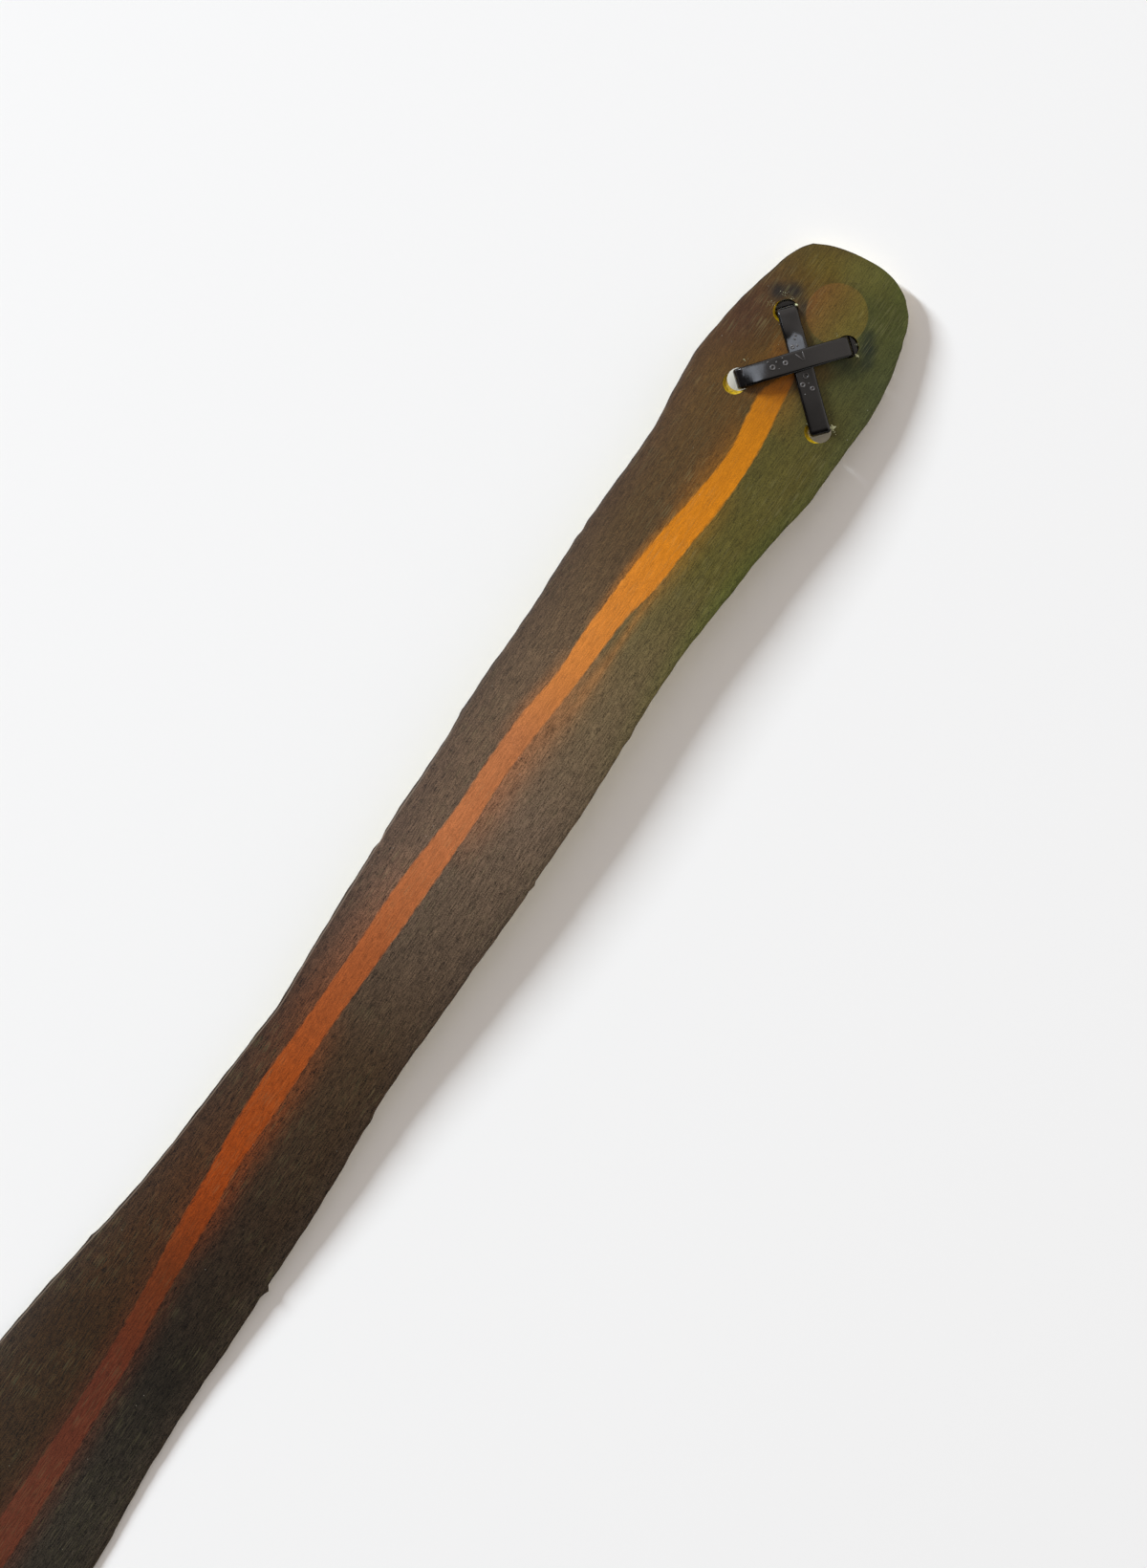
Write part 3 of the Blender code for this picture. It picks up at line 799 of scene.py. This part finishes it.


# The straps are near black. The marks that stand off them are black nylon too; here they are grey as
# painted highlight, standing in for the glints that show them.
nylon = moulded_nylon("moulded_black_nylon", "0a0909", "110f0f", 0.15, 0.24)
mark_glint_grey = moulded_nylon("nylon_grey_painted_glints", "383635", "5a5756", 0.22, 0.32)
MARK = 0.2  # how far the marks stand off the strap
UNDER_MARKS = [
    ("bar", 5.9, -0.35, 0.42, 0.7),
    ("bar", 6.5, 0.05, 0.42, 0.7),
    ("ring", 8.0, 0.9, 0.3, 0.0),
    ("bar", 8.1, -0.2, 0.3, -0.5),
    ("ring", 14.8, -0.1, 0.55, 0.0),
    ("ring", 16.5, 1.05, 0.42, 0.0),
    ("dot", 16.5, -0.3, 0, 0.0),
    ("ring", 17.8, -0.75, 0.36, 0.0),
    ("dot", 18.7, 1.1, 0, 0.0),
]
OVER_MARKS = [
    ("bar", 10.8, 0.6, 1.2, -0.98),
    ("bar", 9.8, 0.6, 1.05, -1.58),
    ("ring", 13.9, 0.25, 0.42, 0.0),
    ("bar", 14.3, 1.5, 0.22, 0.5),
    ("bar", 15.8, 1.0, 0.35, 0.9),
    ("dot", 15.6, -0.6, 0, 0.0),
    ("ring", 16.9, 0.1, 0.46, 0.0),
    ("bar", 17.5, 1.5, 0.25, -0.4),
]
make_tie("tie_under", UNDER_HOLES, UNDER_FACE, UNDER_TWIST, 0, (0.85, 1.3), UNDER_MARKS)
make_tie("tie_over", OVER_HOLES, OVER_FACE, OVER_TWIST, 2.0, (1.7, 1.3), OVER_MARKS)

# ------------------------------------------------------------------------------------------------ table
# The leaf lies on a white table under one soft lamp low on its left. A panel hung overhead shows only as a
# sheen on glossy faces. The pale room fills the shade, and is brighter towards the leaf's head end.
bm = bmesh.new()
bmesh.ops.create_grid(bm, x_segments=1, y_segments=1, size=20)
table, tree, output = new_material("white_table_laminate")
shader = add(tree, "BsdfPrincipled", {"Base Color": srgb("f4f4f3"), "Roughness": 0.7})
tree.links.new(shader.outputs[0], output.inputs[0])
floor = linked("table", bm, [table])

LAMP_AWAY, LAMP_RISE, LAMP_TURN = 7.0, np.radians(25.5), np.radians(5)
lamp = bpy.data.lights.new("window_lamp", "AREA")
lamp.shape = "RECTANGLE"
lamp.size, lamp.size_y = 0.5, 2.2
lamp.energy = 620
lamp.color = (0.92, 1.0, 1.075)
lit = bpy.data.objects.new("window_lamp", lamp)
target = Vector((0, 0.18, 0))
aside = Vector((-np.cos(LAMP_TURN), np.sin(LAMP_TURN), 0))
lit.location = target + (aside * np.cos(LAMP_RISE) + Vector((0, 0, np.sin(LAMP_RISE)))) * LAMP_AWAY
lit.rotation_euler = (target - lit.location).to_track_quat("-Z", "Y").to_euler()
lit.visible_camera = False
bpy.context.scene.collection.objects.link(lit)

panel = bpy.data.lights.new("ceiling_panel", "AREA")
panel.shape = "SQUARE"
panel.size = 0.65
panel.energy = 5.3
panel.color = (0.9, 0.97, 1.1)
hung = bpy.data.objects.new("ceiling_panel", panel)
hung.location = target + Vector((-0.88, -0.08, 1.75))
hung.rotation_euler = (target - hung.location).to_track_quat("-Z", "Y").to_euler()
hung.visible_camera = False
hung.visible_diffuse = False
bpy.context.scene.collection.objects.link(hung)

room = bpy.data.worlds.new("room")
room.use_nodes = True
room.node_tree.nodes.clear()
tree = room.node_tree
facing = add(tree, "SeparateXYZ", {0: add(tree, "TexCoord").outputs["Generated"]}).outputs["Y"]
headward = add(tree, "MapRange", {0: facing, 1: -0.35, 2: 0.35, 3: 0.05, 4: 1.95}).outputs[0]
glow = add(tree, "Background", {"Color": (0.5, 0.458, 0.43, 1), "Strength": headward})
plain = add(tree, "Background", {"Color": (0.9, 0.9, 0.9, 1)})
seen = add(tree, "LightPath").outputs["Is Camera Ray"]
either = add(tree, "MixShader", {0: seen, 1: glow.outputs[0], 2: plain.outputs[0]})
tree.links.new(either.outputs[0], add(tree, "OutputWorld").inputs[0])
bpy.context.scene.world = room

# The camera looks straight down on the head half, turned so that the leaf runs up to the right.
lens = bpy.data.cameras.new("camera")
lens.lens = 200
lens.clip_end = 100
camera = bpy.data.objects.new("camera", lens)
camera.location = (0.01267, 0.1809, 1.8824)
camera.rotation_euler = (0, 0, np.radians(34.48))
bpy.context.scene.collection.objects.link(camera)
bpy.context.scene.camera = camera
bpy.context.scene.view_settings.view_transform = "Standard"
